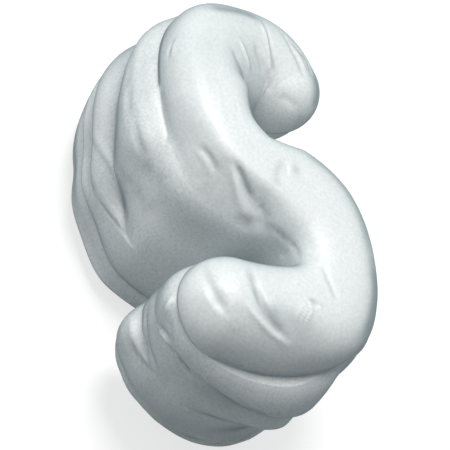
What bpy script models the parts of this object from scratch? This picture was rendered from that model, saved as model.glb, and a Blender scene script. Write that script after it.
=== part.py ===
"""An S-shaped foam packing peanut: one puffed piece with folds all round, lying on its back.

Metres, +Z up. The S lies flat and reads as an S from above, with its length along Y. The piece
rests on a narrow flat strip along its back, at Z = 0, and its origin is under its middle.
"""

import math

import bpy
import numpy as np

# Centre line of the front ribbon from the upper tip to the lower tip. Each row is X, Y, the half
# width on the side that is outermost on the upper bow, and the half width on the other side.
RIBBON = (
    (0.0077, 0.0155, 0.0051, 0.0047),
    (0.0058, 0.0186, 0.0050, 0.0044),
    (0.0021, 0.0200, 0.0048, 0.0049),
    (-0.0026, 0.0189, 0.0050, 0.0054),
    (-0.0054, 0.0154, 0.0044, 0.0055),
    (-0.0059, 0.0110, 0.0045, 0.0060),
    (-0.0042, 0.0060, 0.0052, 0.0057),
    (-0.0006, 0.0022, 0.0054, 0.0052),
    (0.0036, -0.0010, 0.0052, 0.0056),
    (0.0064, -0.0046, 0.0052, 0.0055),
    (0.0070, -0.0092, 0.0052, 0.0055),
    (0.0050, -0.0136, 0.0054, 0.0063),
    (0.0008, -0.0160, 0.0060, 0.0062),
    (-0.0040, -0.0162, 0.0062, 0.0058),
    (-0.0082, -0.0150, 0.0058, 0.0058),
)

# Depth of the piece, from the front to the back: the rounded front ribbon, the four layers with a
# fold in front of each, and the rounded back.
FRONT_ROUND = 0.0052
LAYERS_DEPTH = 0.0192
BACK_ROUND = 0.0026
REST_HALF_WIDTH = 0.0018

# How far the front sinks back, and how far the back lifts off the surface, along the ribbon.
# Each row is the share of the ribbon's length and the distance.
FRONT_SINK = ((0.0, 0.0044), (0.08, 0.0034), (0.2, 0.0016), (0.32, 0.0004), (0.45, 0.0), (1.0, 0.0))
BACK_LIFT = ((0.0, 0.0), (0.6, 0.0), (0.8, 0.0015), (0.9, 0.0032), (1.0, 0.0045))

# How far the layers behind the front ribbon stand out past it, round the outline. Each row is the
# share of the outline, the step out right behind the ribbon, and the slope out towards the back.
BULGE = (
    (0.00, 0.0016, 0.0),      # upper tip
    (0.04, 0.0020, 0.0),
    (0.08, 0.0020, 0.0),      # top
    (0.12, 0.0008, 0.0),
    (0.135, 0.0014, -0.0002),
    (0.155, 0.0024, -0.0006),
    (0.20, 0.0038, -0.0009),  # left of the upper bow
    (0.225, 0.0032, 0.0008),
    (0.25, 0.0012, 0.0030),
    (0.28, 0.0003, 0.0049),
    (0.31, 0.0, 0.0042),      # ceiling of the lower bay
    (0.34, 0.0, 0.0008),
    (0.36, 0.0, 0.0),         # end of the lower bay
    (0.38, 0.0, -0.0010),
    (0.42, 0.0, -0.0015),     # floor of the lower bay
    (0.45, 0.0005, -0.0008),
    (0.485, 0.0004, -0.0013),  # lower tip
    (0.52, 0.0014, -0.0006),
    (0.56, 0.0019, 0.0002),
    (0.60, 0.0021, 0.0),      # bottom
    (0.615, 0.0018, 0.0),
    (0.635, 0.0008, 0.0),
    (0.65, 0.0012, 0.0),
    (0.68, 0.0019, 0.0),
    (0.705, 0.0023, 0.0),     # right of the lower bow
    (0.74, 0.0024, 0.0),
    (0.80, 0.0008, 0.0),      # shoulder
    (0.84, 0.0002, 0.0),
    (0.90, 0.0, 0.0),         # end of the upper bay
    (0.93, 0.0, -0.0004),
    (0.965, 0.0, -0.0016),    # underside of the upper tip
    (1.00, 0.0016, 0.0),
)
STEP_POWER = 14.0
SLOPE_POWER = 2.5

# How much of the step is left towards the back. Each row is the share of the height.
BACK_TAPER = ((0.0, 0.25), (0.1, 0.6), (0.25, 0.95), (0.4, 1.0), (1.0, 1.0))

# The four folds, front to back. Each stretch of a fold is where it starts and ends, as shares of
# the outline from the upper tip, and how deep it is cut.
FOLDS = (
    ((-0.06, 0.240, 0.0008), (0.455, 0.79, 0.0009)),
    ((-0.06, 0.10, 0.0010), (0.10, 0.262, 0.0016), (0.455, 0.79, 0.0010)),
    ((-0.06, 0.10, 0.0009), (0.10, 0.228, 0.0012), (0.455, 0.505, 0.0011), (0.54, 0.79, 0.0010)),
    ((-0.06, 0.310, 0.0010), (0.60, 0.79, 0.0007)),
)
FOLD_FADE = 0.03

# How high the second, third and fourth folds lie round the outline. The first fold runs right
# behind the front ribbon.
FOLD_HEIGHTS = (
    (0.0, 0.0160, 0.0108, 0.0068),
    (0.10, 0.0172, 0.0110, 0.0072),
    (0.16, 0.0174, 0.0104, 0.0072),
    (0.185, 0.0168, 0.0102, 0.0074),
    (0.20, 0.0153, 0.0098, 0.0072),
    (0.21, 0.0144, 0.0094, 0.0068),
    (0.225, 0.0133, 0.0088, 0.0064),
    (0.24, 0.0121, 0.0086, 0.0060),
    (0.255, 0.0110, 0.0088, 0.0056),
    (0.272, 0.0101, 0.0090, 0.0051),
    (0.30, 0.0125, 0.0092, 0.0046),
    (0.36, 0.0150, 0.0100, 0.0060),
    (0.45, 0.0160, 0.0112, 0.0060),
    (0.47, 0.0160, 0.0112, 0.0058),
    (0.50, 0.0165, 0.0100, 0.0054),
    (0.525, 0.0165, 0.0096, 0.0050),
    (0.55, 0.0153, 0.0102, 0.0050),
    (0.57, 0.0143, 0.0104, 0.0050),
    (0.585, 0.0133, 0.0094, 0.0050),
    (0.61, 0.0115, 0.0080, 0.0048),
    (0.66, 0.0130, 0.0086, 0.0054),
    (0.74, 0.0152, 0.0102, 0.0064),
    (1.00, 0.0160, 0.0108, 0.0068),
)

# Where each layer stands out furthest, round the outline: the share of the layer's depth, for the
# four layers in turn.
CRESTS = (
    (0.0, 0.50, 0.50, 0.50, 0.50),
    (0.14, 0.50, 0.65, 0.60, 0.40),
    (0.20, 0.35, 0.70, 0.70, 0.40),
    (0.225, 0.28, 0.80, 0.70, 0.40),
    (0.242, 0.28, 0.65, 0.50, 0.40),
    (0.258, 0.28, 0.30, 0.40, 0.40),
    (0.27, 0.28, 0.20, 0.30, 0.40),
    (0.44, 0.40, 0.50, 0.60, 0.60),
    (0.47, 0.45, 0.50, 0.62, 0.60),
    (0.50, 0.55, 0.50, 0.60, 0.60),
    (0.60, 0.65, 0.60, 0.60, 0.50),
    (1.00, 0.50, 0.50, 0.50, 0.50),
)

# How far each layer's crest stands out past the even wall, for the four layers in turn.
PUSHES = (
    (0.0, 0.0, 0.0, 0.0, 0.0),
    (0.12, 0.0, 0.0, 0.0, 0.0),
    (0.145, 0.0, 0.0003, 0.0002, 0.0),
    (0.17, 0.0, 0.0006, 0.0002, -0.0002),
    (0.20, 0.0, 0.0003, 0.0, -0.0002),
    (0.23, 0.0, 0.0, 0.0, -0.0003),
    (0.265, 0.0, 0.0, 0.0, -0.0003),
    (0.30, 0.0, 0.0, 0.0, 0.0),
    (0.43, 0.0, 0.0, 0.0, 0.0),
    (0.455, 0.0, 0.0, 0.0011, 0.0),
    (0.475, 0.0, 0.0, 0.0005, -0.0004),
    (0.50, 0.0, 0.0, 0.0, -0.0008),
    (0.54, 0.0, 0.0, 0.0, 0.0),
    (0.57, 0.0, 0.0, -0.0008, -0.0004),
    (0.59, 0.0, 0.0, -0.0014, -0.0009),
    (0.62, 0.0, 0.0, -0.0004, 0.0),
    (0.66, 0.0, 0.0, 0.0, 0.0),
    (1.0, 0.0, 0.0, 0.0, 0.0),
)

# Section of a layer: how round its shelf is, and how late its far side falls back into the fold.
CREST_POWER = 1.4
FALL_POWER = 3.0

# Fineness of the mesh: spans along the ribbon and round each tip, rings across the front, in each
# layer and across the back.
RIBBON_SPANS = 56
TIP_SPANS = 16
FRONT_RINGS = (0.16, 0.34, 0.52, 0.68, 0.81, 0.91, 0.975)
LAYER_RINGS = (0.0, 0.07, 0.2, 0.4, 0.62, 0.82, 0.94)
BACK_RINGS = (0.85, 0.6, 0.3, 0.0)
FRONT_POWER = 2.1
SPLAY_POWER = 3.0
CREASE_ANGLE = math.radians(38)

FOAM_COLOUR = (0.87, 0.90, 0.90, 1.0)
FOAM_ROUGHNESS = 0.5


def spline(rows, at):
    """Natural cubic spline through the rows, spaced by their distance in X and Y, and its slope."""
    rows = np.array(rows)
    knots = np.concatenate([[0.0], np.cumsum(np.sqrt(np.hypot(*np.diff(rows[:, :2], axis=0).T)))])
    knots /= knots[-1]
    gap = np.diff(knots)[:, None]
    rise = np.diff(rows, axis=0) / gap
    system = np.eye(len(rows))
    right = np.zeros_like(rows)
    for i in range(1, len(rows) - 1):
        system[i, i - 1 : i + 2] = gap[i - 1, 0], 2 * (gap[i - 1, 0] + gap[i, 0]), gap[i, 0]
        right[i] = 6 * (rise[i] - rise[i - 1])
    bend = np.linalg.solve(system, right)
    i = np.clip(np.searchsorted(knots, at) - 1, 0, len(rows) - 2)
    step = (at - knots[i])[:, None]
    tilt = rise[i] - gap[i] * (2 * bend[i] + bend[i + 1]) / 6
    turn = (bend[i + 1] - bend[i]) / gap[i]
    points = rows[i] + step * (tilt + step * (bend[i] / 2 + step * turn / 6))
    slopes = tilt + step * (bend[i] + step * turn / 2)
    return points, slopes


def between(rows, column, at):
    """Values read from a column of rows at shares of a length, smoothly and with no overshoot."""
    rows = np.array(rows)
    shares, values = rows[:, 0], rows[:, column]
    gap = np.diff(shares)
    rise = np.diff(values) / gap
    slope = np.concatenate([rise[:1], np.zeros(len(gap) - 1), rise[-1:]])
    for i in range(1, len(gap)):
        if rise[i - 1] * rise[i] > 0:
            slope[i] = 2 * rise[i - 1] * rise[i] / (rise[i - 1] + rise[i])
    i = np.clip(np.searchsorted(shares, at) - 1, 0, len(gap) - 1)
    t = (at - shares[i]) / gap[i]
    start = values[i] * (1 + 2 * t) * (1 - t) ** 2 + slope[i] * gap[i] * t * (1 - t) ** 2
    end = values[i + 1] * t * t * (3 - 2 * t) + slope[i + 1] * gap[i] * t * t * (t - 1)
    return start + end


def outline(ribbon_spans, tip_spans):
    """The columns round the S: centre, outward direction, half width, and two shares of length."""
    fine = np.linspace(0, 1, 40 * ribbon_spans + 1)
    points, _ = spline(RIBBON, fine)
    walked = np.concatenate([[0.0], np.cumsum(np.hypot(*np.diff(points[:, :2], axis=0).T))])
    even = np.interp(np.linspace(0, walked[-1], ribbon_spans + 1), walked, fine)
    points, slopes = spline(RIBBON, even)
    slopes = slopes[:, :2] / np.hypot(*slopes[:, :2].T)[:, None]
    outer = np.column_stack([slopes[:, 1], -slopes[:, 0]])
    along = np.linspace(0, 1, ribbon_spans + 1)

    def tip(end, first, last, start):
        """Columns that turn half round the tip at one end of the ribbon."""
        turn = np.arange(1, tip_spans) / tip_spans
        angle = math.atan2(start[1], start[0]) + math.pi * turn
        centre = np.repeat(points[end : end + 1, :2], len(turn), axis=0)
        outward = np.column_stack([np.cos(angle), np.sin(angle)])
        half = points[end, first] + (points[end, last] - points[end, first]) * turn
        return centre, outward, half, np.full(len(turn), along[end])

    last = ribbon_spans
    sides = (
        (points[:, :2], outer, points[:, 2], along),
        tip(last, 2, 3, outer[last]),
        (points[::-1, :2], -outer[::-1], points[::-1, 3], along[::-1]),
        tip(0, 3, 2, -outer[0]),
    )
    centre, outward, half, along = (np.concatenate(column) for column in zip(*sides))
    edge = centre + outward * half[:, None]
    steps = np.hypot(*(np.roll(edge, -1, axis=0) - edge).T)
    share = np.concatenate([[0.0], np.cumsum(steps)[:-1]]) / steps.sum()
    return centre, outward, half, along, share


def fold_depth(stretches, share):
    """How deep one fold is cut at each share of the outline, fading out at its ends."""
    depth = np.zeros_like(share)
    for start, end, cut in stretches:
        for turn in (-1, 0, 1):
            into = np.clip((share + turn - start) / FOLD_FADE + 0.5, 0, 1)
            past = np.clip((share + turn - end) / FOLD_FADE + 0.5, 0, 1)
            depth += cut * (into * into * (3 - 2 * into) - past * past * (3 - 2 * past))
    return depth


def layer_shape(x, crest):
    """How far out a layer stands, from 0 in its folds to 1 at its crest: a shelf, then a fall."""
    rise = 1 - np.clip(1 - x / crest, 0, 1) ** CREST_POWER
    fall = 1 - np.clip((x - crest) / (1 - crest), 0, 1) ** FALL_POWER
    return np.where(x < crest, rise, fall)


def bulge(share, height, top):
    """How far the outline at a height stands out past the front ribbon's edge."""
    level = height / top
    step = between(BULGE, 1, share) * (1 - level**STEP_POWER) * between(BACK_TAPER, 1, level)
    return step + between(BULGE, 2, share) * (1 - level**SLOPE_POWER)


def rings(half, share):
    """Each ring's distances out from the centre line and its heights, from the front to the back."""
    top = LAYERS_DEPTH + BACK_ROUND
    nothing = np.zeros_like(share)
    splay = np.clip(between(BULGE, 2, share), 0, None)
    for k in FRONT_RINGS:
        level = top + FRONT_ROUND * (1 - k**FRONT_POWER) ** (1 / FRONT_POWER)
        yield half * k + splay * k**SPLAY_POWER * (1 - (level / top) ** SLOPE_POWER), level
    cuts = [fold_depth(stretches, share) for stretches in FOLDS] + [nothing]
    heights = [nothing + top]
    heights += [between(FOLD_HEIGHTS, column, share) for column in range(1, len(FOLDS))]
    heights += [nothing + BACK_ROUND]
    for number in range(len(FOLDS)):
        crest = between(CRESTS, number + 1, share)
        push = between(PUSHES, number + 1, share)
        for x in LAYER_RINGS:
            level = heights[number] * (1 - x) + heights[number + 1] * x
            reach = push + np.where(x < crest, cuts[number], cuts[number + 1])
            out = half + bulge(share, level, top) + push - reach * (1 - layer_shape(x, crest))
            yield (half if number == x == 0 else out), level
    edge = half + bulge(share, BACK_ROUND, top)
    yield edge, BACK_ROUND
    for k in BACK_RINGS:
        out = REST_HALF_WIDTH + (edge - REST_HALF_WIDTH) * k
        yield out, BACK_ROUND * (1 - math.sqrt(1 - k * k))


def loft(ribbon_spans, tip_spans):
    """The vertices and faces of the whole closed surface."""
    centre, outward, half, along, share = outline(ribbon_spans, tip_spans)
    depth = FRONT_ROUND + LAYERS_DEPTH + BACK_ROUND
    sink = between(FRONT_SINK, 1, along)
    lift = between(BACK_LIFT, 1, along)

    def placed(out, height):
        """One ring of points: pushed out from the centre line, and fitted between back and front."""
        level = lift + height * (depth - sink - lift) / depth
        return np.column_stack([centre + outward * np.reshape(out, (-1, 1)), level])

    columns = len(share)
    nothing = np.zeros(columns)
    ridge = placed(nothing, depth)[: ribbon_spans + 1]
    keel = placed(nothing, 0.0)[: ribbon_spans + 1]
    shells = [placed(out, height) for out, height in rings(half, share)]
    points = np.concatenate([ridge] + shells + [keel])

    spine = np.rint(along * ribbon_spans).astype(int)
    first = ribbon_spans + 1
    levels = [spine] + [first + columns * i + np.arange(columns) for i in range(len(shells))]
    levels.append(spine + first + columns * len(shells))
    faces = []
    for upper, lower in zip(levels, levels[1:]):
        for i in range(columns):
            j = (i + 1) % columns
            corners = (upper[i], lower[i], lower[j], upper[j])
            faces.append(tuple(int(c) for c in dict.fromkeys(corners)))
    return points, faces


def foam_material():
    material = bpy.data.materials.new("foam")
    material.use_nodes = True
    shader = material.node_tree.nodes["Principled BSDF"]
    shader.inputs["Base Color"].default_value = FOAM_COLOUR
    shader.inputs["Roughness"].default_value = FOAM_ROUGHNESS
    shader.inputs["Metallic"].default_value = 0.0
    return material


def foam_peanut():
    """The whole piece, centred over the origin."""
    points, faces = loft(RIBBON_SPANS, TIP_SPANS)
    middle = (points.min(axis=0) + points.max(axis=0)) / 2
    points[:, :2] -= middle[:2]
    mesh = bpy.data.meshes.new("foam_peanut")
    mesh.from_pydata(points.tolist(), [], faces)
    mesh.shade_smooth()
    mesh.set_sharp_from_angle(angle=CREASE_ANGLE)
    mesh.materials.append(foam_material())
    return bpy.data.objects.new("foam_peanut", mesh)


def main():
    for obj in list(bpy.data.objects):
        bpy.data.objects.remove(obj)
    parts = bpy.data.collections.new("packing_peanut")
    bpy.context.scene.collection.children.link(parts)
    parts.objects.link(foam_peanut())


main()
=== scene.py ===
"""Looks of the foam packing peanut: its folded skin with dents, the foam, floor, light and camera."""

import math

import bpy
import numpy as np
from mathutils import Matrix, Vector
from mathutils.bvhtree import BVHTree


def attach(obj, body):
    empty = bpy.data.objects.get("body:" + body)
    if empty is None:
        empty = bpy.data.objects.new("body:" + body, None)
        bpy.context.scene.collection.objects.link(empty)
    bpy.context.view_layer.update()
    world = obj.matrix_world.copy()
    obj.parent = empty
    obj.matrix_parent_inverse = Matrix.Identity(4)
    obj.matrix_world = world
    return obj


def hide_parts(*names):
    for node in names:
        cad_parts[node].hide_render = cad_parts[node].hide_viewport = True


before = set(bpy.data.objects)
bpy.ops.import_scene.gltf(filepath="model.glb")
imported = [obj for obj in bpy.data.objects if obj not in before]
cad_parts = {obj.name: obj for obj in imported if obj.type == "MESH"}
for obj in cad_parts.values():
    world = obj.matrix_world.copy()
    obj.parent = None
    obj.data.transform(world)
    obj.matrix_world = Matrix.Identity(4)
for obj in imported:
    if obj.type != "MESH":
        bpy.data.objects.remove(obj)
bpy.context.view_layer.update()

# The photograph's view. The camera aims at a point straight over the origin of the ribbon's table.
PHOTO_SIDE = 450
PHOTO_MIDDLE = PHOTO_SIDE / 2
LENS = 200.0
SENSOR = 36.0
FOCAL_PIXELS = PHOTO_SIDE * LENS / SENSOR
PIXELS_PER_METRE = 8700.0
AZIMUTH = math.radians(-52)
ELEVATION = math.radians(50)
ROLL = math.radians(48)
AIM_HEIGHT = 0.0135
CLIP_START = 0.01

# Centre line of the front ribbon from the upper tip to the lower tip. Each row is X, Y, the half
# width on the side that is outermost on the upper bow, and the half width on the other side.
RIBBON = (
    (0.0077, 0.0155, 0.0051, 0.0047),
    (0.0058, 0.0186, 0.0050, 0.0044),
    (0.0021, 0.0200, 0.0048, 0.0049),
    (-0.0026, 0.0189, 0.0050, 0.0054),
    (-0.0054, 0.0154, 0.0044, 0.0055),
    (-0.0059, 0.0110, 0.0045, 0.0060),
    (-0.0042, 0.0060, 0.0052, 0.0057),
    (-0.0006, 0.0022, 0.0054, 0.0052),
    (0.0036, -0.0010, 0.0052, 0.0056),
    (0.0064, -0.0046, 0.0052, 0.0055),
    (0.0070, -0.0092, 0.0052, 0.0055),
    (0.0050, -0.0136, 0.0054, 0.0063),
    (0.0008, -0.0160, 0.0060, 0.0062),
    (-0.0040, -0.0162, 0.0062, 0.0058),
    (-0.0082, -0.0150, 0.0058, 0.0058),
)
OUTER_HALF = 2
INNER_HALF = 3

# Where the frame's origin lies in the table's own axes: under the middle of the piece's box.
BOX_MIDDLE = (0.000409, 0.001189, 0.0)

# Depth of the piece from the front to the back, and the half width of the strip that it lies on. By
# shares of the centre line: how far the front is sunk, and how far the back is lifted.
FRONT_ROUND = 0.0052
LAYERS_DEPTH = 0.0192
BACK_ROUND = 0.0026
REST_HALF_WIDTH = 0.0018
FRONT_SINK = ((0.0, 0.0044), (0.08, 0.0034), (0.2, 0.0016), (0.32, 0.0004), (0.45, 0.0), (1.0, 0.0))
BACK_LIFT = ((0.0, 0.0), (0.6, 0.0), (0.8, 0.0015), (0.9, 0.0032), (1.0, 0.0045))

# How far the layers behind the front ribbon stand out past it, round the outline. Each row is the
# share of the outline, the step out right behind the ribbon, and the slope out towards the back.
BULGE = (
    (0.00, 0.0016, 0.0),
    (0.04, 0.0020, 0.0),
    (0.08, 0.0020, 0.0),
    (0.12, 0.0008, 0.0),
    (0.135, 0.0014, -0.0002),
    (0.155, 0.0024, -0.0006),
    (0.20, 0.0038, -0.0009),
    (0.225, 0.0032, 0.0008),
    (0.25, 0.0012, 0.0030),
    (0.28, 0.0003, 0.0050),
    (0.31, 0.0, 0.0048),
    (0.34, 0.0, 0.0008),
    (0.36, 0.0, 0.0),
    (0.38, 0.0, -0.0010),
    (0.42, 0.0, -0.0015),
    (0.45, 0.0012, -0.0008),
    (0.467, 0.0013, -0.0015),
    (0.485, 0.0009, -0.0018),
    (0.51, 0.0010, -0.0014),
    (0.53, 0.0015, -0.0003),
    (0.56, 0.0019, 0.0005),
    (0.58, 0.0021, 0.0003),
    (0.60, 0.0021, -0.0002),
    (0.615, 0.0018, -0.0004),
    (0.635, 0.0008, 0.0),
    (0.65, 0.0012, 0.0),
    (0.68, 0.0019, 0.0),
    (0.705, 0.0023, 0.0),
    (0.74, 0.0024, 0.0),
    (0.80, 0.0008, 0.0),
    (0.84, 0.0002, 0.0),
    (0.90, 0.0, 0.0),
    (0.93, 0.0, -0.0004),
    (0.965, 0.0, -0.0016),
    (1.00, 0.0016, 0.0),
)

# How quickly the step and the slope open behind the front, and how the step closes at the back.
STEP_POWER = 14.0
SLOPE_POWER = 2.5
BACK_TAPER = ((0.0, 0.25), (0.1, 0.6), (0.25, 0.95), (0.4, 1.0), (1.0, 1.0))

# The four folds, front to back. Each stretch of a fold is where it starts and ends, as shares of
# the outline from the upper tip, and how deep it is cut. A fold gets painted shade in its crease: as
# wide as a share of the layer's depth, and full where the cut is as deep as FULL_FOLD.
FOLDS = (
    ((-0.06, 0.10, 0.0006), (0.10, 0.200, 0.0004), (0.455, 0.52, 0.0004), (0.52, 0.79, 0.0005)),
    ((-0.06, 0.10, 0.0008), (0.10, 0.262, 0.0011), (0.455, 0.54, 0.0002), (0.54, 0.79, 0.0006)),
    ((-0.06, 0.10, 0.0007), (0.10, 0.228, 0.0009), (0.455, 0.505, 0.0003), (0.54, 0.79, 0.0006)),
    ((-0.06, 0.220, 0.0008), (0.220, 0.310, 0.0005), (0.585, 0.64, 0.0005), (0.60, 0.79, 0.0005)),
)
FOLD_FADE = 0.03
CREASE_WIDTH = 0.05
FULL_FOLD = 0.0008

# How high the second, third and fourth fold lie round the outline. The first is at the top.
FOLD_HEIGHTS = (
    (0.0, 0.0160, 0.0108, 0.0068),
    (0.10, 0.0172, 0.0110, 0.0072),
    (0.16, 0.0174, 0.0104, 0.0072),
    (0.185, 0.0168, 0.0102, 0.0074),
    (0.20, 0.0153, 0.0098, 0.0072),
    (0.21, 0.0144, 0.0094, 0.0068),
    (0.225, 0.0133, 0.0088, 0.0064),
    (0.24, 0.0121, 0.0086, 0.0060),
    (0.255, 0.0110, 0.0088, 0.0056),
    (0.272, 0.0101, 0.0090, 0.0051),
    (0.30, 0.0125, 0.0092, 0.0046),
    (0.36, 0.0150, 0.0100, 0.0060),
    (0.45, 0.0160, 0.0112, 0.0034),
    (0.47, 0.0160, 0.0112, 0.0032),
    (0.50, 0.0165, 0.0100, 0.0032),
    (0.525, 0.0165, 0.0096, 0.0036),
    (0.55, 0.0153, 0.0102, 0.0044),
    (0.57, 0.0143, 0.0104, 0.0050),
    (0.585, 0.0133, 0.0094, 0.0050),
    (0.61, 0.0115, 0.0080, 0.0048),
    (0.66, 0.0130, 0.0086, 0.0054),
    (0.74, 0.0152, 0.0102, 0.0064),
    (1.00, 0.0160, 0.0108, 0.0068),
)

# The crest of the layer behind each fold: the share of the layer's depth at which it stands out
# furthest, for the four layers in turn.
CRESTS = (
    (0.0, 0.50, 0.50, 0.50, 0.50),
    (0.14, 0.50, 0.65, 0.60, 0.40),
    (0.20, 0.35, 0.70, 0.70, 0.40),
    (0.225, 0.28, 0.80, 0.70, 0.40),
    (0.242, 0.28, 0.65, 0.50, 0.40),
    (0.258, 0.28, 0.30, 0.40, 0.40),
    (0.27, 0.28, 0.20, 0.30, 0.40),
    (0.44, 0.40, 0.50, 0.42, 0.60),
    (0.47, 0.45, 0.50, 0.44, 0.60),
    (0.50, 0.55, 0.50, 0.50, 0.60),
    (0.60, 0.65, 0.60, 0.60, 0.50),
    (1.00, 0.50, 0.50, 0.50, 0.50),
)

# How far each crest stands out past the even wall, for the four layers in turn.
PUSHES = (
    (0.0, 0.0, 0.0, 0.0, 0.0),
    (0.12, 0.0, 0.0, 0.0, 0.0),
    (0.145, 0.0, 0.0003, 0.0002, 0.0),
    (0.17, 0.0, 0.0006, 0.0002, -0.0002),
    (0.20, 0.0, 0.0003, 0.0, -0.0002),
    (0.23, 0.0, 0.0, 0.0, -0.0003),
    (0.265, 0.0, 0.0, 0.0, -0.0003),
    (0.30, 0.0, 0.0, 0.0, 0.0),
    (0.43, 0.0, 0.0, 0.0, 0.0),
    (0.450, 0.0, 0.0, 0.0004, 0.0),
    (0.465, 0.0, 0.0, 0.0010, 0.0),
    (0.48, 0.0, 0.0, 0.0007, 0.0),
    (0.50, 0.0, 0.0, 0.0004, 0.0),
    (0.54, 0.0, 0.0, 0.0, 0.0),
    (0.57, 0.0002, 0.0, -0.0009, -0.0006),
    (0.59, 0.0006, 0.0003, -0.0014, -0.0010),
    (0.607, 0.0006, 0.0004, -0.0013, -0.0011),
    (0.625, 0.0, 0.0, -0.0004, -0.0002),
    (0.655, 0.0, 0.0, 0.0, 0.0),
    (0.672, 0.0007, 0.0003, 0.0, 0.0),
    (0.695, 0.0, 0.0, 0.0, 0.0),
    (1.0, 0.0, 0.0, 0.0, 0.0),
)

# How round a layer is in front of its crest and behind it.
CREST_POWER = 1.3
FALL_POWER = 2.2

# How square the front's rounding is at each share: 2 is a quarter of a circle, and more is squarer.
# SPLAY_POWER is how late the slope behind begins to widen the rounding.
FRONT_POWERS = (
    (0.0, 2.2),
    (0.08, 2.0),
    (0.12, 2.5),
    (0.16, 2.8),
    (0.20, 2.7),
    (0.25, 3.0),
    (0.30, 3.6),
    (0.36, 3.2),
    (0.41, 2.6),
    (0.46, 1.9),
    (0.49, 1.7),
    (0.57, 1.7),
    (0.59, 1.9),
    (0.615, 2.3),
    (0.64, 2.5),
    (0.70, 2.3),
    (0.80, 2.6),
    (0.86, 2.8),
    (0.90, 2.4),
    (0.94, 2.2),
    (1.0, 2.2),
)
SPLAY_POWER = 3

# How much narrower the front ribbon is than its walls at each share, and the depth over which that
# ends. Below 0 the ribbon is wider.
NARROWS = (
    (0.0, 0.0),
    (0.20, 0.0),
    (0.245, -0.0008),
    (0.275, -0.0018),
    (0.31, -0.0018),
    (0.345, -0.0010),
    (0.375, 0.0),
    (0.46, 0.0),
    (0.50, 0.0004),
    (0.54, 0.0004),
    (0.58, 0.0004),
    (0.61, 0.0001),
    (0.64, 0.0),
    (0.67, 0.0004),
    (0.70, 0.0005),
    (0.74, 0.0003),
    (0.77, 0.0),
    (0.805, 0.0),
    (0.815, 0.0006),
    (0.825, 0.0013),
    (0.833, 0.0020),
    (0.842, 0.0020),
    (0.851, 0.0013),
    (0.866, 0.0),
    (1.0, 0.0),
)
NARROW_DEPTH = 0.007

# How far the front ribbon's edge lies below its usual height. Below 0 it lies above it.
DROPS = (
    (0.0, 0.0),
    (0.46, 0.0),
    (0.50, 0.0012),
    (0.54, 0.0019),
    (0.58, 0.0016),
    (0.605, 0.0004),
    (0.625, -0.0004),
    (0.65, 0.0),
    (0.858, 0.0),
    (0.876, 0.0012),
    (0.895, 0.0018),
    (0.92, 0.0030),
    (0.945, 0.0012),
    (0.965, 0.0),
    (1.0, 0.0),
)

# How far a web of foam closes the upper bay's end at the front, which way it reaches, how late it
# begins across the front's rounding, and the depth over which it ends behind the ribbon.
WEBS = (
    (0.0, 0.0),
    (0.860, 0.0),
    (0.868, 0.0004),
    (0.875, 0.0015),
    (0.881, 0.0026),
    (0.896, 0.0028),
    (0.902, 0.0016),
    (0.910, 0.0005),
    (0.92, 0.0),
    (1.0, 0.0),
)
WEB_DIRECTION = (0.25, -0.97)
WEB_POWER = 2.5
WEB_DEPTH = 0.009

# Fineness of the skin, several times that of the solid: the steps that measure each span, the spans
# along the ribbon and round a tip, and the rings of the front, of each layer, as shares of its
# depth, and of the back.
FINE_STEPS = 40
RIBBON_SPANS = 330
TIP_SPANS = 74
FRONT_RINGS = 30
LAYER_RINGS = (
    0.0, 0.015, 0.04, 0.075, 0.12, 0.18, 0.25, 0.33,
    0.42, 0.52, 0.62, 0.71, 0.79, 0.86, 0.92, 0.965,
)
BACK_RINGS = 10

# Marks pressed into the foam where the photograph shows them. Each mark has the photograph's pixels
# that it runs through, and then its lines: how many pixels each lies beside the path (positive is on
# the left of its direction), its half width in pixels, its height, and how much painted light it puts
# into the foam's colour (painted shade where it is below 0).

# Middle: two dents, the faint marks between them, and the groove that runs down to the bay, with
# painted shade in their hollows and painted light on their raised rims.
MIDDLE_MARKS = (
    (((199, 148), (206, 154), (211, 162), (216, 172)), (1.5, 2.4, -0.00024, -0.3), (-4.0, 2.0, 0.00012, 0.3)),
    (((201, 174), (204, 181), (207, 188)), (1.0, 1.6, -0.00011, -0.1), (-2.5, 1.4, 0.00007, 0.1)),
    (((211, 186), (215, 192), (218, 197)), (0.0, 1.4, 0.00008, 0.2)),
    (((235, 164), (240, 175), (245, 187), (252, 203)), (1.0, 3.6, -0.00036, -0.35)),
    (((234, 170), (238, 186), (241, 199), (246, 209), (255, 218)), (-1.0, 2.8, 0.00026, 0.8)),
    (((228, 208), (233, 211), (238, 215)), (0.0, 2.0, 0.00016, 0.5)),
    (((238, 215), (248, 220), (258, 222), (270, 228), (282, 236), (293, 246)), (0.0, 2.6, -0.00022, -0.2)),
    (((259, 203), (263, 213), (268, 222)), (0.0, 5.0, -0.00027, -0.1)),
    (((282, 251), (285, 257)), (0.0, 3.6, -0.00027, -0.3)),
    (((291, 243), (296, 250), (299, 258)), (0.0, 2.4, -0.00013, -0.1)),
)

# Round dimple to the right of them, with painted shade in it and a little painted light on its rise.
DIMPLE_MARKS = (
    (((283, 160), (278, 168), (277, 178), (281, 188)), (0.0, 3.6, -0.00005, -0.3)),
    (((284, 164), (286, 174)), (0.0, 5.0, -0.00008, -0.1)),
    (((297, 165), (299, 175)), (0.0, 5.0, -0.00012, -0.3)),
    (((291, 163), (290, 176)), (0.0, 2.4, 0.00006, 0.1)),
)

# Shallow streaks along the upper bow.
STREAKS = (
    (
        ((221, 84), (225, 102), (231, 124)),
        (0.0, 1.3, -0.00004, 0.0),
        (4.0, 1.3, 0.00003, 0.0),
        (7.0, 1.3, -0.00004, 0.0),
    ),
    (((232, 88), (236, 104), (241, 124)), (0.0, 1.2, -0.00004, 0.0), (4.0, 1.3, 0.00003, 0.0)),
)
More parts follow.
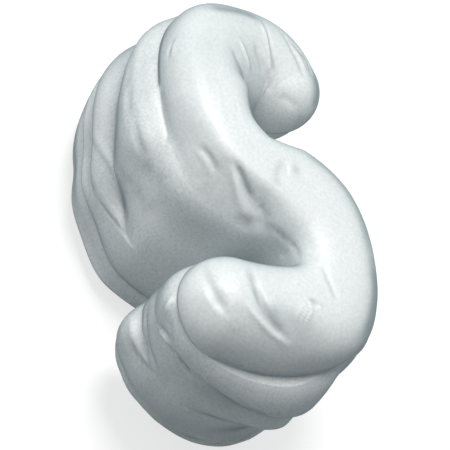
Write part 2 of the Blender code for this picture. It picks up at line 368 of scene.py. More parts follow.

# Lower hook: the left and the long dent with their rims, the ring, and the scar with its scratches.
# Painted shade lies in the dents and in a broad band across the hook, and painted light on the rims,
# the ring and the scratches, with painted shade beside the scratches.
SCRATCH = ((0.0, 1.4, 0.00009, 0.6), (2.4, 1.1, -0.00006, -0.3))
LOWER_HOOK_MARKS = (
    (((203, 266), (209, 281), (216, 296), (226, 312)), (0.0, 4.6, -0.00030, -0.2)),
    (((203, 289), (210, 302), (218, 312), (227, 318)), (0.0, 2.2, 0.00008, 0.4)),
    (((251, 270), (256, 286), (261, 300)), (0.0, 4.6, -0.00022, -0.35)),
    (((258, 292), (264, 306), (271, 319), (284, 338)), (0.0, 4.8, -0.00038, -0.4)),
    (((247, 303), (255, 315), (264, 325), (274, 334), (288, 345)), (0.0, 2.6, 0.00022, 0.8)),
    (
        ((231, 323), (233, 327), (238, 328), (241, 324), (239, 319), (234, 318), (231, 322)),
        (0.0, 1.5, 0.00007, 0.2),
    ),
    (((311, 299), (315, 302), (319, 303)), (0.0, 2.4, -0.00019, -0.4)),
    (((318, 307), (320, 307)), (0.0, 1.6, 0.00014, 0.6)),
    (((309, 300), (311, 306), (313, 310)), (0.0, 1.3, 0.00011, 0.4)),
    (((322, 304), (324, 307)), (0.0, 1.4, -0.00011, -0.3)),
    (((268, 306), (290, 316), (314, 332)), (0.0, 12.0, 0.0, -0.35)),
    (((305, 302), (300, 311), (296, 318)), *SCRATCH),
    (((309, 305), (304, 314), (300, 321)), *SCRATCH),
    (((313, 308), (309, 316), (305, 323)), *SCRATCH),
    (((324, 267), (328, 279), (333, 290), (336, 298)), (0.0, 2.4, -0.00016, -0.2)),
    (((276, 307), (278, 321)), (0.0, 2.6, -0.00011, -0.1)),
)

# Upper tip: creases that fan out of the bay's end, the dents between them, and the bay's filled end,
# with painted shade in the creases and painted light on the ridges beside them and on the bay's end.
UPPER_TIP_MARKS = (
    (
        ((262, 21), (267, 30), (270, 41), (272, 54), (274, 68), (275, 76)),
        (0.0, 1.4, -0.00022, -0.4),
        (-4.0, 2.4, 0.00010, 0.1),
    ),
    (((269, 76), (270, 83), (270, 90)), (0.0, 3.6, -0.00012, 0.2)),
    (((234, 49), (240, 62), (248, 76)), (0.0, 6.0, -0.00020, 0.0)),
    (((241, 42), (246, 56), (250, 70)), (0.0, 2.6, 0.00020, 0.2)),
    (((256, 44), (260, 57), (265, 72)), (0.0, 4.4, -0.00018, 0.0)),
    (((263, 50), (267, 61), (269, 73)), (0.0, 1.8, 0.00012, 0.2)),
    (((281, 32), (287, 40), (292, 50), (298, 62), (304, 77)), (0.0, 1.4, -0.00024, -0.4)),
    (((295, 50), (301, 60), (306, 73)), (0.0, 1.4, 0.00014, 0.5)),
    (((289, 40), (300, 52), (308, 63), (311, 76)), (0.0, 1.3, -0.00022, -0.5)),
    (((277, 98), (284, 99), (291, 102), (296, 109)), (0.0, 3.6, -0.00012, 0.1)),
)

# Painted shade and light without relief: painted shade on the top, upper bow and right rims,
# and painted light on the upper bay's lit end.
RIM_PAINTED_SHADE_AND_LIGHT = (
    (((208, 8), (233, 11), (248, 15), (262, 22)), (0.0, 5.0, 0.0, -0.8), (7.0, 6.0, 0.0, -0.5)),
    (((206, 28), (198, 58), (200, 92)), (0.0, 16.0, 0.0, -0.2)),
    (((311, 70), (315, 90), (311, 110)), (0.0, 6.0, 0.0, -0.5), (7.0, 6.0, 0.0, -0.9)),
    (((300, 150), (335, 178), (358, 215), (370, 262)), (0.0, 5.0, 0.0, -0.3), (8.0, 7.0, 0.0, -0.6)),
    (((371, 262), (374, 290), (369, 320), (360, 338)), (0.0, 6.0, 0.0, -0.7), (8.0, 7.0, 0.0, -0.9)),
    (((252, 92), (262, 110), (278, 120), (300, 116)), (0.0, 17.0, 0.0, 1.4)),
)

# Painted light and shade without relief: painted light on the lower bay's lit ceiling, and painted
# light and shade on the lit and shaded parts of the left layers.
LEFT_PAINTED_LIGHT_AND_SHADE = (
    (((180, 240), (205, 246), (250, 252), (280, 254)), (0.0, 18.0, 0.0, 1.3)),
    (((122, 172), (148, 205), (178, 232)), (0.0, 20.0, 0.0, 1.0)),
    (((119, 112), (123, 142), (134, 172)), (0.0, 10.0, 0.0, 0.8)),
    (((150, 50), (143, 75), (146, 105)), (0.0, 9.0, 0.0, -0.3)),
    (((90, 100), (80, 135), (77, 170), (82, 215)), (0.0, 9.0, 0.0, 1.3)),
)

# Left side: the first fold's end, the small fold beside it, and creases and lit ridges on the layers,
# with painted shade in the creases and on a band of the second layer, and painted light on the ridges,
# the ribbon's flank and a band of the third layer.
LEFT_MARKS = (
    (
        ((160, 82), (161, 100), (165, 122), (168, 138), (165, 152)),
        (0.0, 1.3, -0.00022, -0.5),
        (-4.0, 3.0, 0.00008, 0.1),
    ),
    (((173, 41), (170, 49), (169, 57)), (0.0, 1.5, -0.00018, -0.3), (4.0, 2.0, 0.00012, 0.2)),
    (
        ((133, 53), (129, 76), (131, 105), (137, 132), (144, 152), (152, 171), (163, 183)),
        (0.0, 3.2, -0.00030, -0.6),
    ),
    (((127, 62), (124, 80), (124, 98)), (0.0, 5.0, 0.0, -0.3)),
    (((172, 26), (166, 48), (168, 78), (176, 112)), (0.0, 9.0, 0.0, 0.8)),
    (((136, 124), (144, 150), (152, 170)), (3.5, 2.6, 0.00014, 0.3)),
    (((121, 166), (133, 181), (145, 195), (158, 214)), (4.0, 5.0, 0.00030, 0.7), (-2.5, 1.8, -0.00018, -0.4)),
    (
        ((92, 136), (98, 148), (105, 159), (112, 171), (116, 180)),
        (3.5, 3.6, 0.00020, 0.5),
        (-2.0, 1.6, -0.00012, -0.3),
    ),
    (((112, 66), (105, 92), (103, 118), (106, 140)), (0.0, 11.0, 0.0, 0.9)),
    (((98, 200), (105, 210), (115, 222), (130, 238)), (0.0, 1.5, -0.00018, -0.4)),
    (((120, 190), (125, 210), (133, 236)), (0.0, 1.5, -0.00015, -0.3)),
    (((126, 186), (133, 197), (145, 200), (157, 212)), (0.0, 1.4, -0.00014, -0.3), (3.0, 2.0, 0.00010, 0.2)),
)

# Lower tip: the lit facet and its two edges, small lit ridges, faint folds, and the darker end, with
# painted light on the facet and the ridges, and painted shade along the edges, the folds and the end.
LOWER_TIP_MARKS = (
    (((131, 318), (132, 332), (142, 351), (154, 368)), (0.0, 4.0, 0.00036, 0.5), (-4.5, 1.6, -0.00014, -0.5)),
    (((139, 312), (139, 330), (144, 347)), (0.0, 6.0, 0.0, 1.0)),
    (((147, 308), (145, 322), (147, 340), (156, 370)), (0.0, 3.4, -0.00030, 0.2), (3.4, 1.4, 0.0, -0.5)),
    (((173, 298), (169, 305), (166, 312)), (0.0, 3.2, 0.00034, 1.0)),
    (((160, 330), (166, 337), (170, 344)), (0.0, 2.6, 0.00042, 1.0), (4.0, 2.2, -0.00020, 0.0)),
    (((168, 314), (171, 328), (173, 343)), (0.0, 1.3, -0.00016, -0.2)),
    (((176, 353), (184, 365), (192, 376)), (0.0, 1.5, -0.00024, -0.3), (-3.0, 1.3, 0.00012, 0.3)),
    (((186, 408), (189, 411)), (0.0, 1.8, 0.00025, 0.9)),
    (((138, 385), (165, 415), (205, 432), (250, 432)), (0.0, 18.0, 0.0, -0.35)),
    (((185, 378), (212, 394), (240, 408)), (0.0, 12.0, 0.0, -0.35)),
)

# Lower bow: painted light on the grainy band under the front ribbon, and painted shade in the fold
# under that.
LOWER_BOW_MARKS = (
    (((243, 388), (270, 394), (300, 393), (330, 380)), (0.0, 15.0, 0.0, 1.0)),
    (((236, 398), (252, 409), (272, 415), (296, 411)), (0.0, 1.6, -0.00020, -0.5), (-6.0, 4.0, 0.0, -0.3)),
)

MARKS = (
    *MIDDLE_MARKS,
    *DIMPLE_MARKS,
    *STREAKS,
    *LOWER_HOOK_MARKS,
    *UPPER_TIP_MARKS,
    *RIM_PAINTED_SHADE_AND_LIGHT,
    *LEFT_PAINTED_LIGHT_AND_SHADE,
    *LEFT_MARKS,
    *LOWER_TIP_MARKS,
    *LOWER_BOW_MARKS,
)

# How a mark is pressed: the points taken along its path, the share of the path over which each end
# fades, the strength left at the very ends, how many half widths it reaches, and how soon it fades
# where the skin turns away.
MARK_SAMPLES = 60
MARK_END = 0.22
MARK_END_STRENGTH = 0.35
MARK_REACH = 3
MARK_FACING = 2

# Grain is least on the front ribbon's smooth skin. It grows from a little above the ribbon's edge,
# over a short depth.
GRAIN_ABOVE = 0.002
GRAIN_DEPTH = 0.003
LEAST_GRAIN = 0.15


def spline(rows, at):
    """Natural cubic spline through the rows, spaced by their distance in X and Y, and its slope."""
    rows = np.array(rows)
    knots = np.concatenate([[0.0], np.cumsum(np.sqrt(np.hypot(*np.diff(rows[:, :2], axis=0).T)))])
    knots /= knots[-1]
    gap = np.diff(knots)[:, None]
    rise = np.diff(rows, axis=0) / gap
    system = np.eye(len(rows))
    right = np.zeros_like(rows)
    for i in range(1, len(rows) - 1):
        system[i, i - 1 : i + 2] = gap[i - 1, 0], 2 * (gap[i - 1, 0] + gap[i, 0]), gap[i, 0]
        right[i] = 6 * (rise[i] - rise[i - 1])
    bend = np.linalg.solve(system, right)
    i = np.clip(np.searchsorted(knots, at) - 1, 0, len(rows) - 2)
    step = (at - knots[i])[:, None]
    tilt = rise[i] - gap[i] * (2 * bend[i] + bend[i + 1]) / 6
    turn = (bend[i + 1] - bend[i]) / gap[i]
    points = rows[i] + step * (tilt + step * (bend[i] / 2 + step * turn / 6))
    slopes = tilt + step * (bend[i] + step * turn / 2)
    return points, slopes


def eased(t):
    """A smooth step from 0 to 1."""
    return t * t * (3 - 2 * t)


def between(rows, column, at):
    """Values read from a column of rows at shares of a length, smoothly and with no overshoot."""
    rows = np.array(rows)
    shares, values = rows[:, 0], rows[:, column]
    gap = np.diff(shares)
    rise = np.diff(values) / gap
    slope = np.concatenate([rise[:1], np.zeros(len(gap) - 1), rise[-1:]])
    for i in range(1, len(gap)):
        if rise[i - 1] * rise[i] > 0:
            slope[i] = 2 * rise[i - 1] * rise[i] / (rise[i - 1] + rise[i])
    i = np.clip(np.searchsorted(shares, at) - 1, 0, len(gap) - 1)
    t = (at - shares[i]) / gap[i]
    start = values[i] * (1 + 2 * t) * (1 - t) ** 2 + slope[i] * gap[i] * t * (1 - t) ** 2
    end = values[i + 1] * t * t * (3 - 2 * t) + slope[i + 1] * gap[i] * t * t * (t - 1)
    return start + end


def outline(ribbon_spans, tip_spans):
    """The columns round the S: centre, outward direction, half width, and two shares of length."""
    fine = np.linspace(0, 1, FINE_STEPS * ribbon_spans + 1)
    points, _ = spline(RIBBON, fine)
    walked = np.concatenate([[0.0], np.cumsum(np.hypot(*np.diff(points[:, :2], axis=0).T))])
    even = np.interp(np.linspace(0, walked[-1], ribbon_spans + 1), walked, fine)
    points, slopes = spline(RIBBON, even)
    slopes = slopes[:, :2] / np.hypot(*slopes[:, :2].T)[:, None]
    outer = np.column_stack([slopes[:, 1], -slopes[:, 0]])
    along = np.linspace(0, 1, ribbon_spans + 1)

    def tip(end, from_half, to_half, start):
        """Columns that turn half round the tip at one end of the ribbon."""
        turn = np.arange(1, tip_spans) / tip_spans
        angle = math.atan2(start[1], start[0]) + math.pi * turn
        centre = np.repeat(points[end : end + 1, :2], len(turn), axis=0)
        outward = np.column_stack([np.cos(angle), np.sin(angle)])
        half = points[end, from_half] + (points[end, to_half] - points[end, from_half]) * turn
        return centre, outward, half, np.full(len(turn), along[end])

    last = ribbon_spans
    sides = (
        (points[:, :2], outer, points[:, OUTER_HALF], along),
        tip(last, OUTER_HALF, INNER_HALF, outer[last]),
        (points[::-1, :2], -outer[::-1], points[::-1, INNER_HALF], along[::-1]),
        tip(0, INNER_HALF, OUTER_HALF, -outer[0]),
    )
    centre, outward, half, along = (np.concatenate(column) for column in zip(*sides))
    edge = centre + outward * half[:, None]
    steps = np.hypot(*(np.roll(edge, -1, axis=0) - edge).T)
    share = np.concatenate([[0.0], np.cumsum(steps)[:-1]]) / steps.sum()
    return centre, outward, half, along, share


def fold_depth(stretches, share):
    """How deep one fold is cut at each share of the outline, fading out at its ends. The outline is
    closed, so a stretch counts one turn earlier and later too."""
    depth = np.zeros_like(share)
    for start, end, cut in stretches:
        for turn in (-1, 0, 1):
            into = np.clip((share + turn - start) / FOLD_FADE + 0.5, 0, 1)
            past = np.clip((share + turn - end) / FOLD_FADE + 0.5, 0, 1)
            depth += cut * (eased(into) - eased(past))
    return depth


def layer_shape(x, crest):
    """How far out a layer stands, from 0 in its folds to 1 at its crest: a shelf, then a fall."""
    rise = 1 - np.clip(1 - x / crest, 0, 1) ** CREST_POWER
    fall = 1 - np.clip((x - crest) / (1 - crest), 0, 1) ** FALL_POWER
    return np.where(x < crest, rise, fall)


def bulge(share, height, top):
    """How far the outline at a height stands out past the front ribbon's edge."""
    level = height / top
    step = between(BULGE, 1, share) * (1 - level**STEP_POWER) * between(BACK_TAPER, 1, level)
    return step + between(BULGE, 2, share) * (1 - level**SLOPE_POWER)


def rings(half, share):
    """Each ring's distance out from the centre line, its height, and how much painted fold shade it gets."""
    top = LAYERS_DEPTH + BACK_ROUND
    splay = np.clip(between(BULGE, 2, share), 0, None)
    nothing = np.zeros_like(share)
    power = between(FRONT_POWERS, 1, share)
    narrow = between(NARROWS, 1, share)
    drop = between(DROPS, 1, share)

    def sunk(level, depth):
        """1 at the front ribbon's edge, falling smoothly to 0 at a depth below it."""
        return eased(np.clip(1 - (top - level) / depth, 0, 1))

    for number in range(1, FRONT_RINGS):
        k = math.sin(0.5 * math.pi * number / FRONT_RINGS)
        level = top - drop + (FRONT_ROUND + drop) * (1 - k**power) ** (1 / power)
        out = (half - narrow) * k + splay * k**SPLAY_POWER * (1 - (level / top) ** SLOPE_POWER)
        yield out, level, nothing, nothing + k**WEB_POWER
    cuts = [fold_depth(stretches, share) for stretches in FOLDS] + [nothing]
    heights = [between(FOLD_HEIGHTS, column, share) for column in (1, 2, 3)]
    heights = [top - drop] + heights + [nothing + BACK_ROUND]
    for number in range(len(FOLDS)):
        crest = between(CRESTS, number + 1, share)
        push = between(PUSHES, number + 1, share)
        for x in LAYER_RINGS:
            reach = push + np.where(x < crest, cuts[number], cuts[number + 1])
            level = heights[number] * (1 - x) + heights[number + 1] * x
            out = half + bulge(share, level, top) + push - reach * (1 - layer_shape(x, crest))
            if number == 0 and x == 0:
                out = half  # the front ribbon's own edge
            out = out - narrow * sunk(level, NARROW_DEPTH)
            # Painted shade in the crease, fuller where the cut is deeper.
            crease = math.exp(-((min(x, 1 - x) / CREASE_WIDTH) ** 2))
            nearest = cuts[number] if x < 0.5 else cuts[number + 1]
            yield out, level, crease * np.clip(nearest / FULL_FOLD, 0, 1), sunk(level, WEB_DEPTH)
    edge = half + bulge(share, BACK_ROUND, top)
    yield edge, nothing + BACK_ROUND, nothing, nothing
    for number in range(1, BACK_RINGS + 1):
        k = math.cos(0.5 * math.pi * number / BACK_RINGS)
        out = REST_HALF_WIDTH + (edge - REST_HALF_WIDTH) * k
        yield out, nothing + BACK_ROUND * (1 - math.sqrt(1 - k * k)), nothing, nothing


def loft(ribbon_spans, tip_spans):
    """The vertices, faces and painted fold shade of the whole closed skin."""
    centre, outward, half, along, share = outline(ribbon_spans, tip_spans)
    depth = FRONT_ROUND + LAYERS_DEPTH + BACK_ROUND
    sink = between(FRONT_SINK, 1, along)
    lift = between(BACK_LIFT, 1, along)
    web = between(WEBS, 1, share)[:, None] * np.array(WEB_DIRECTION)

    def placed(out, height, webbed):
        """One ring of points: pushed out from the centre line, and fitted between back and front."""
        level = lift + height * (depth - sink - lift) / depth
        edge = centre + outward * np.reshape(out, (-1, 1)) + web * np.reshape(webbed, (-1, 1))
        return np.column_stack([edge, level])

    columns = len(share)
    nothing = np.zeros(columns)
    first = ribbon_spans + 1
    shells = list(rings(half, share))
    ridge = placed(nothing, depth, nothing)[:first]
    keel = placed(nothing, 0.0, nothing)[:first]
    walls = [placed(out, height, webbed) for out, height, _, webbed in shells]
    points = np.concatenate([ridge] + walls + [keel])
    # How much painted shade each vertex gets in a fold's crease.
    folds = np.concatenate([nothing[:first]] + [fold for _, _, fold, _ in shells] + [nothing[:first]])

    spine = np.rint(along * ribbon_spans).astype(int)
    levels = [spine] + [first + columns * i + np.arange(columns) for i in range(len(shells))]
    levels.append(spine + first + columns * len(shells))
    faces = []
    for upper, lower in zip(levels, levels[1:]):
        for i in range(columns):
            j = (i + 1) % columns
            corners = (upper[i], lower[i], lower[j], upper[j])
            faces.append(tuple(int(c) for c in dict.fromkeys(corners)))
    return points, faces, folds


def camera_axes():
    """Right, up and back of the photograph's camera."""
    back = np.array(
        [
            math.sin(AZIMUTH) * math.cos(ELEVATION),
            -math.cos(AZIMUTH) * math.cos(ELEVATION),
            math.sin(ELEVATION),
        ]
    )
    right = np.array([math.cos(AZIMUTH), math.sin(AZIMUTH), 0.0])
    up = np.cross(back, right)
    turned_right = right * math.cos(ROLL) + up * math.sin(ROLL)
    turned_up = -right * math.sin(ROLL) + up * math.cos(ROLL)
    return turned_right, turned_up, back


def make_camera(aim):
    """The photograph's camera, which looks down on the front from the lower left, and its place."""
    right, up, back = camera_axes()
    data = bpy.data.cameras.new("camera")
    data.lens = LENS
    data.sensor_width = SENSOR
    data.clip_start = CLIP_START
    camera = bpy.data.objects.new("camera", data)
    bpy.context.scene.collection.objects.link(camera)
    place = aim + back * FOCAL_PIXELS / PIXELS_PER_METRE
    axes = Matrix([right, up, back]).transposed().to_4x4()
    camera.matrix_world = Matrix.Translation(Vector(place)) @ axes
    bpy.context.scene.camera = camera
    return place


class Skin:
    """The fine loft, which dents are pressed into where the photograph shows them, with painted light and
    shade along them.
    """

    def __init__(self, eye):
        points, self.faces, self.folds = loft(RIBBON_SPANS, TIP_SPANS)
        self.eye = eye
        self.points = points - np.array(BOX_MIDDLE)
        self.normals = self.vertex_normals()
        self.tree = BVHTree.FromPolygons(self.points.tolist(), self.faces)
        self.lift = np.zeros(len(points))
        # Painted light (above 0) and painted shade (below 0) that the marks put into the colour.
        self.light = np.zeros(len(points))
        ribbon = BACK_ROUND + LAYERS_DEPTH
        self.grain = np.clip((ribbon + GRAIN_ABOVE - points[:, 2]) / GRAIN_DEPTH, LEAST_GRAIN, 1)

    def vertex_normals(self):
        """The skin's direction at each vertex, from the faces round it."""
        corners = np.array([face if len(face) == 4 else face + face[:1] for face in self.faces])
        spots = self.points[corners]
        facing = np.cross(spots[:, 2] - spots[:, 0], spots[:, 3] - spots[:, 1])
        tri = np.array([len(face) == 3 for face in self.faces])
        facing[tri] = np.cross(spots[tri, 1] - spots[tri, 0], spots[tri, 2] - spots[tri, 0])
        normals = np.zeros_like(self.points)
        for corner in range(4):
            np.add.at(normals, corners[:, corner], facing)
        return normals / np.linalg.norm(normals, axis=1)[:, None]

    def hit(self, pixel):
        """The place on the skin that a pixel of the photograph shows, and the skin's direction there."""
        right, up, back = camera_axes()
        ray = right * (pixel[0] - PHOTO_MIDDLE) - up * (pixel[1] - PHOTO_MIDDLE) - back * FOCAL_PIXELS
        place, normal, _, _ = self.tree.ray_cast(Vector(self.eye), Vector(ray).normalized())
        return None if place is None else (np.array(place), np.array(normal))

    def trace(self, path):
        """A path of pixels laid on the skin: shares of its length, places there, and the directions
        off the skin, along the path and to its left."""
        path = np.array(path, float)
        walked = np.concatenate([[0.0], np.cumsum(np.hypot(*np.diff(path, axis=0).T))])
        shares = np.linspace(0, 1, MARK_SAMPLES)
        rows = np.column_stack([walked / walked[-1], path])
        pixels = np.column_stack([between(rows, 1, shares), between(rows, 2, shares)])
        hits = [self.hit(pixel) for pixel in pixels]
        shares = np.array([share for share, found in zip(shares, hits) if found])
        spots = np.array([found[0] for found in hits if found])
        facing = np.array([found[1] for found in hits if found])
        along = np.gradient(spots, axis=0)
        along /= np.linalg.norm(along, axis=1)[:, None]
        beside = np.cross(facing, along)
        beside /= np.linalg.norm(beside, axis=1)[:, None]
        return shares, spots, facing, along, beside

    def press(self, path, lines):
        """Raises or sinks the skin along a path of pixels, and paints light or shade into its colour."""
        shares, spots, facing, along, beside = self.trace(path)
        reach = max(abs(offset) + MARK_REACH * width for offset, width, _, _ in lines) / PIXELS_PER_METRE
        above = self.points > spots.min(axis=0) - reach
        below = self.points < spots.max(axis=0) + reach
        near = np.flatnonzero(np.all(above & below, axis=1))
        gaps = self.points[near][:, None, :] - spots[None]
        closest = np.argmin(np.einsum("ijk,ijk->ij", gaps, gaps), axis=1)
        gap = gaps[np.arange(len(near)), closest]
        side = np.einsum("ij,ij->i", gap, beside[closest]) * PIXELS_PER_METRE
        end = np.einsum("ij,ij->i", gap, along[closest]) * PIXELS_PER_METRE
        share = shares[closest]
        fade = np.clip(np.minimum(share, 1 - share) / MARK_END, 0, 1)
        fade = MARK_END_STRENGTH + (1 - MARK_END_STRENGTH) * eased(fade)
        turned = np.einsum("ij,ij->i", self.normals[near], facing[closest])
        same_side = np.clip(turned * MARK_FACING, 0, 1)
        # The last value of a line is painted light, or painted shade where it is below 0.
        for offset, width, height, light in lines:
            much = np.exp(-((side - offset) ** 2 + end**2) / width**2) * fade * same_side
            self.lift[near] += height * much
            self.light[near] += light * much

    def build(self, name):
        """The skin as a mesh object, which carries what the foam's colours are mixed by: painted fold shade,
        painted light, painted shade and grain.
        """
        points = self.points + self.normals * self.lift[:, None]
        mesh = bpy.data.meshes.new(name)
        mesh.from_pydata(points.tolist(), [], self.faces)
        mesh.shade_smooth()
        # Painted fold shade, painted light and painted shade for the colour, and where the grain shows.
        amounts = {
            "fold": self.folds,
            "painted_light": np.clip(self.light, 0, 1),
            "painted_shade": np.clip(-self.light, 0, 1),
            "grain": self.grain,
        }
        for attribute, amount in amounts.items():
            layer = mesh.attributes.new(attribute, "FLOAT", "POINT")
            layer.data.foreach_set("value", amount.astype(np.float32))
        piece = bpy.data.objects.new(name, mesh)
        bpy.context.scene.collection.objects.link(piece)
        return piece


# The foam. Noise scales are per metre, and a range is where between two noise levels an effect grows.
FINE_SCALE = 2600.0
FINE_DETAIL = 3.0
FINE_RANGE = (0.35, 0.68)
FINE_SHADE = (0.75, 0.77, 0.775, 1)
FINE_WHITE = (0.84, 0.85, 0.85, 1)
CELL_SCALE = 3400.0
CELL_DETAIL = 1.0
PALE_CELLS = (0.52, 0.72)
DARK_CELLS = (0.46, 0.24)
FLECK = 0.3
PATCHY_CELLS = (0.40, 0.62)
PATCHY_LEAST = 0.6
# Colour of the painted shade in the folds' creases.
CREASE_SHADE_TINT = (0.46, 0.50, 0.52, 1)
# Tints for the random cell flecks, and for the marks' painted shade and painted light.
DARK_FLECK_AND_PAINTED_SHADE_TINT = (0.40, 0.45, 0.47, 1)
PALE_FLECK_AND_PAINTED_LIGHT_TINT = (0.99, 0.99, 0.99, 1)
BUMP_STRENGTH = 0.25
BUMP_DISTANCE = 0.0001
FOAM_SHADER = {
    "Roughness": 0.42,
    "Subsurface Weight": 0.5,
    "Subsurface Radius": (1.0, 1.0, 1.0),
    "Subsurface Scale": 0.0013,
    "Coat Weight": 1.0,
    "Coat Roughness": 0.5,
    "Coat IOR": 1.02,
    "Coat Tint": (0.80, 0.83, 0.84, 1),
}

# Floor, surroundings and lamps. Each lamp is a round area lamp: its name, place, size, watts and
# colour, and all of them shine on the middle of the piece.
FLOOR_SIDE = 20.0
FLOOR_HEIGHT = -0.00002
FLOOR_COLOUR = (0.30, 0.31, 0.31, 1)
FLOOR_GLOW = (0.70, 0.70, 0.70, 1)
SKY_COLOUR = (0.88, 0.965, 1.0, 1)
SKY_STRENGTH = 0.30
BACKGROUND = (1, 1, 1, 1)
LAMP_AIM = (0, 0, 0.013)
LAMPS = (
    ("softbox", (-0.04, 0.18, 0.51), 0.24, 2.95, (1, 0.95, 0.91)),
    ("fill", (0.30, 0.16, 0.32), 0.40, 0.40, (1, 1, 1)),
    ("left_fill", (-0.42, 0.24, 0.16), 0.40, 0.9, (1, 1, 1)),
)


class Nodes:
    """A material's nodes, with a short call for each kind that repeats."""

    def __init__(self, name):
        self.material = bpy.data.materials.new(name)
        self.material.use_nodes = True
        self.nodes = self.material.node_tree.nodes

    def new(self, kind, **inputs):
        """A node with some of its inputs linked."""
        node = self.nodes.new(kind)
        for name, source in inputs.items():
            self.link(source, node.inputs[name])
        return node

    def link(self, source, target):
        """Feeds one node's output to another's input."""
        self.material.node_tree.links.new(source, target)

    def attribute(self, name):
        """An amount that the mesh carries."""
        node = self.new("ShaderNodeAttribute")
        node.attribute_name = name
        return node.outputs["Fac"]

    def noise(self, scale, detail):
        """Cloudy noise that is fixed to the piece."""
        node = self.new("ShaderNodeTexNoise", Vector=self.new("ShaderNodeNewGeometry").outputs["Position"])
        node.inputs["Scale"].default_value = scale
        node.inputs["Detail"].default_value = detail
        return node.outputs["Fac"]

    def grown(self, value, between_levels, least, most):
        """A value that grows from least to most between two levels of another."""
        node = self.new("ShaderNodeMapRange", Value=value)
        levels = dict(zip(("From Min", "From Max", "To Min", "To Max"), (*between_levels, least, most)))
        for name, level in levels.items():
            node.inputs[name].default_value = level
        return node.outputs["Result"]

    def joined(self, operation, first, second):
        """Two values joined by the named operation."""
        node = self.new("ShaderNodeMath")
        node.operation = operation
        self.link(first, node.inputs[0])
        self.link(second, node.inputs[1])
        return node.outputs["Value"]

    def tinted(self, colour, amount, tint):
        """A colour mixed towards a tint."""
        node = self.new("ShaderNodeMix", Factor=amount)
        node.data_type = "RGBA"
        node.inputs["B"].default_value = tint
        self.link(colour, node.inputs["A"])
        return node.outputs["Result"]


def foam_material():
    """Puffed white foam: light goes a little way in, and fine cells show as grain. Painted shade from the
    folds and painted light and shade from the marks are mixed into its colour.
    """
    make = Nodes("puffed_foam")
    fine = make.noise(FINE_SCALE, FINE_DETAIL)
    cells = make.noise(CELL_SCALE, CELL_DETAIL)
    ramp = make.new("ShaderNodeValToRGB", Fac=fine)
    for element, place, colour in zip(ramp.color_ramp.elements, FINE_RANGE, (FINE_SHADE, FINE_WHITE)):
        element.position = place
        element.color = colour
    colour = ramp.outputs["Color"]
    grain = make.attribute("grain")
    for levels, tint in ((PALE_CELLS, PALE_FLECK_AND_PAINTED_LIGHT_TINT), (DARK_CELLS, DARK_FLECK_AND_PAINTED_SHADE_TINT)):
        fleck = make.joined("MULTIPLY", make.grown(cells, levels, 0.0, FLECK), grain)
        colour = make.tinted(colour, fleck, tint)
    patchy = make.grown(cells, PATCHY_CELLS, PATCHY_LEAST, 1.0)
    # Painted shade in the folds' creases.
    colour = make.tinted(colour, make.attribute("fold"), CREASE_SHADE_TINT)
    # Painted shade along the marks.
    colour = make.tinted(colour, make.attribute("painted_shade"), DARK_FLECK_AND_PAINTED_SHADE_TINT)
    # Painted light along the marks, broken up by the cells.
    colour = make.tinted(colour, make.joined("MULTIPLY", make.attribute("painted_light"), patchy), PALE_FLECK_AND_PAINTED_LIGHT_TINT)
    shader = make.nodes["Principled BSDF"]
    for name, value in FOAM_SHADER.items():
        shader.inputs[name].default_value = value
    bump = make.new("ShaderNodeBump", Height=fine)
    bump.inputs["Strength"].default_value = BUMP_STRENGTH
    bump.inputs["Distance"].default_value = BUMP_DISTANCE
    make.link(bump.outputs["Normal"], shader.inputs["Normal"])
    make.link(colour, shader.inputs["Base Color"])
    return make.material


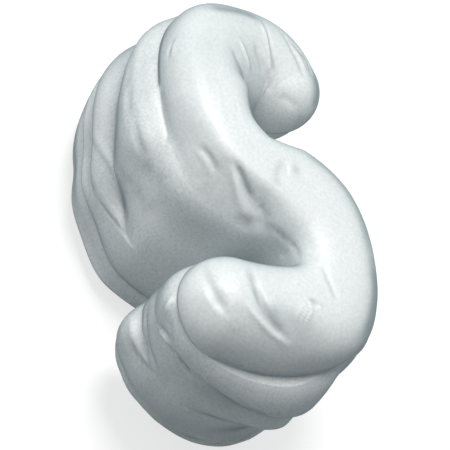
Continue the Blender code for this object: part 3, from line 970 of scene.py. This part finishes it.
def floor_material():
    """Pale floor that the camera sees as nearly white, with the piece's soft shadow on it."""
    make = Nodes("pale_floor")
    make.nodes.clear()
    diffuse = make.new("ShaderNodeBsdfDiffuse")
    diffuse.inputs["Color"].default_value = FLOOR_COLOUR
    glow = make.new("ShaderNodeEmission")
    glow.inputs["Color"].default_value = FLOOR_GLOW
    both = make.new("ShaderNodeAddShader")
    make.link(diffuse.outputs["BSDF"], both.inputs[0])
    make.link(glow.outputs["Emission"], both.inputs[1])
    ray = make.new("ShaderNodeLightPath")
    seen = ray.outputs["Is Camera Ray"]
    for kind in ("Is Glossy Ray", "Is Transmission Ray"):
        seen = make.joined("MAXIMUM", seen, ray.outputs[kind])
    choose = make.new("ShaderNodeMixShader", Fac=seen)
    make.link(diffuse.outputs["BSDF"], choose.inputs[1])
    make.link(both.outputs["Shader"], choose.inputs[2])
    make.new("ShaderNodeOutputMaterial", Surface=choose.outputs["Shader"])
    return make.material


def make_floor():
    """The surface that the piece lies on."""
    bpy.ops.mesh.primitive_plane_add(size=FLOOR_SIDE, location=(0, 0, FLOOR_HEIGHT))
    floor = bpy.context.object
    floor.name = "floor"
    floor.data.materials.append(floor_material())


def make_world():
    """Dim even light from all round, and a white background where the camera sees past the floor."""
    world = bpy.data.worlds.new("surroundings")
    bpy.context.scene.world = world
    world.use_nodes = True
    nodes, links = world.node_tree.nodes, world.node_tree.links
    light = nodes["Background"]
    light.inputs["Color"].default_value = SKY_COLOUR
    light.inputs["Strength"].default_value = SKY_STRENGTH
    seen = nodes.new("ShaderNodeBackground")
    seen.inputs["Color"].default_value = BACKGROUND
    ray = nodes.new("ShaderNodeLightPath")
    choose = nodes.new("ShaderNodeMixShader")
    links.new(ray.outputs["Is Camera Ray"], choose.inputs["Fac"])
    links.new(light.outputs["Background"], choose.inputs[1])
    links.new(seen.outputs["Background"], choose.inputs[2])
    links.new(choose.outputs["Shader"], nodes["World Output"].inputs["Surface"])


def make_lamp(name, place, size, watts, colour):
    """A round area lamp that shines on the middle of the piece."""
    data = bpy.data.lights.new(name, "AREA")
    data.shape = "DISK"
    data.size = size
    data.energy = watts
    data.color = colour
    lamp = bpy.data.objects.new(name, data)
    bpy.context.scene.collection.objects.link(lamp)
    direction = Vector(LAMP_AIM) - Vector(place)
    turned = direction.to_track_quat("-Z", "Y").to_matrix().to_4x4()
    lamp.matrix_world = Matrix.Translation(Vector(place)) @ turned


bpy.context.scene.view_settings.view_transform = "Standard"
aim = np.array([0.0, 0.0, AIM_HEIGHT]) - np.array(BOX_MIDDLE)
skin = Skin(make_camera(aim))
for path, *lines in MARKS:
    skin.press(path, lines)
peanut = skin.build("folded_foam")
peanut.data.materials.append(foam_material())
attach(peanut, "root")
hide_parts("foam_peanut")
make_floor()
make_world()
for lamp in LAMPS:
    make_lamp(*lamp)
